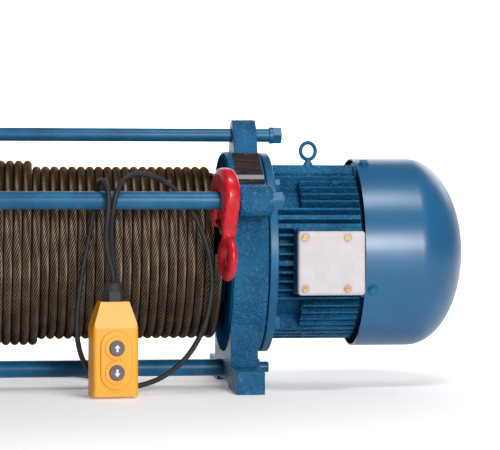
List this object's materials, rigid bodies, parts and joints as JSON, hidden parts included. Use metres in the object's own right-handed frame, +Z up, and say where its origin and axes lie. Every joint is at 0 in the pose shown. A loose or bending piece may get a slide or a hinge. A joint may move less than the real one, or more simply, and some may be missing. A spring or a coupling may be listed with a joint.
{
  "type": "electric winch",
  "caption": "Electric wire rope winch: rope drum between two cast end frames on tie rods, finned fan-cooled motor, gearbox, load hook and push-button pendant.",
  "frame": {"origin": "middle of the four foot bolts, at the level of the soles", "axes": "+X along the drum axis towards the motor, +Y to the back, +Z up"},
  "size_m": [0.9186, 0.4415, 0.394],
  "materials": {
    "blue_casting": "rough sand-cast surface under blue paint",
    "blue_paint": "smooth blue paint",
    "blue_sheet": "satin blue paint on sheet metal",
    "rope_wire": "greased dark bronze wire",
    "grey_moulding": "pale grey moulding, fine texture",
    "black_rubber": "matt rubber",
    "brass": "turned brass",
    "black_plastic": "black nylon",
    "dark_plate": "dark anodised plate, bare",
    "bare_steel": "machined steel",
    "zinc_steel": "zinc plated",
    "red_paint": "glossy red enamel over a forging",
    "yellow_moulding": "yellow moulding, satin",
    "button_grey": "dark grey buttons",
    "cable_jacket": "black cable jacket",
    "copper": "enamelled copper"
  },
  "bodies": {
    "frame": {"back_tie_rod": "blue_paint", "blank_plate": "dark_plate", "bottom_tie_rod": "blue_paint", "brake_coil": "bare_steel", "contactor": "black_plastic", "control_box": "blue_sheet", "control_box_glands": "black_plastic", "control_box_lid": "blue_sheet", "control_cable": "cable_jacket", "cowl_screws": "blue_paint", "drum_bearings": "bare_steel", "eye_bolt": "blue_paint", "fan_cowl": "blue_sheet", "flange_bolts": "blue_paint", "front_tie_rod": "blue_paint", "gearbox_cover": "blue_casting", "gearbox_cover_bolts": "blue_paint", "gearbox_oil_plugs": "brass", "idler_axles": "bare_steel", "left_end_frame": "blue_casting", "motor_bearings": "bare_steel", "motor_flange": "blue_casting", "motor_housing": "blue_casting", "motor_rear_shield": "blue_casting", "pendant_back_shell": "yellow_moulding", "pendant_front_shell": "yellow_moulding", "pendant_gland": "black_plastic", "pendant_screws": "zinc_steel", "plate_rivets": "bare_steel", "right_end_frame": "blue_casting", "shaft_end_bearing": "bare_steel", "stator_core": "bare_steel", "stator_windings": "copper", "switch_blocks": "black_plastic", "terminal_block": "black_plastic", "terminal_box": "blue_casting", "terminal_box_cover": "grey_moulding", "terminal_box_gasket": "black_rubber", "terminal_box_screws": "brass", "tie_rod_nuts": "blue_paint", "tie_rod_washers": "blue_paint", "top_rod_bolts": "blue_paint", "top_rod_spring_washers": "blue_paint", "top_tie_rod": "blue_paint"},
    "drum": {"rope_drum": "blue_paint", "wire_rope": "rope_wire", "ring_gear": "bare_steel"},
    "rotor": {"rotor_shaft": "bare_steel", "rotor_core": "bare_steel", "sun_pinion": "bare_steel", "brake_disc": "bare_steel", "cooling_fan": "black_plastic"},
    "idler_1": {"idler_gear_1": "bare_steel"},
    "idler_2": {"idler_gear_2": "bare_steel"},
    "idler_3": {"idler_gear_3": "bare_steel"},
    "hook": {"load_hook": "red_paint", "latch_pin": "zinc_steel"},
    "latch": {"hook_latch": "zinc_steel"},
    "up_button": {"up_button": "button_grey"},
    "down_button": {"down_button": "button_grey"}
  },
  "joints": [
    {"name": "drum_spin", "type": "hinge", "parent": "frame", "child": "drum", "pos_m": [0, 0, 0.1965], "axis": [1, 0, 0], "continuous": true},
    {"name": "rotor_spin", "type": "hinge", "parent": "frame", "child": "rotor", "pos_m": [0, 0, 0.1965], "axis": [1, 0, 0], "continuous": true},
    {"name": "idler_1_spin", "type": "hinge", "parent": "frame", "child": "idler_1", "pos_m": [-0.3, 0, 0.2637], "axis": [1, 0, 0], "continuous": true},
    {"name": "idler_2_spin", "type": "hinge", "parent": "frame", "child": "idler_2", "pos_m": [-0.3, -0.0582, 0.1629], "axis": [1, 0, 0], "continuous": true},
    {"name": "idler_3_spin", "type": "hinge", "parent": "frame", "child": "idler_3", "pos_m": [-0.3, 0.0582, 0.1629], "axis": [1, 0, 0], "continuous": true},
    {"name": "hook_swing", "type": "hinge", "parent": "frame", "child": "hook", "pos_m": [0.203, -0.18, 0.2725], "axis": [1, 0, 0], "range_deg": [-100, 6]},
    {"name": "latch_swing", "type": "hinge", "parent": "hook", "child": "latch", "pos_m": [0.20579, -0.19372, 0.2285], "axis": [0.9799, 0.1994, 0], "range_deg": [0, 26], "stiffness_Nm_per_rad": 0.02, "springref_deg": -17.19},
    {"name": "up_button_press", "type": "slide", "parent": "frame", "child": "up_button", "axis": [-0.1392, 0.9903, 0], "range_m": [0, 0.004], "stiffness_N_per_m": 600, "springref_m": -0.002},
    {"name": "down_button_press", "type": "slide", "parent": "frame", "child": "down_button", "axis": [-0.1392, 0.9903, 0], "range_m": [0, 0.004], "stiffness_N_per_m": 600, "springref_m": -0.002}
  ],
  "couplings": [
    {"joint": "rotor_spin", "follows": "drum_spin", "ratio": -15},
    {"joint": "idler_1_spin", "follows": "drum_spin", "ratio": 5},
    {"joint": "idler_2_spin", "follows": "drum_spin", "ratio": 5},
    {"joint": "idler_3_spin", "follows": "drum_spin", "ratio": 5}
  ]
}
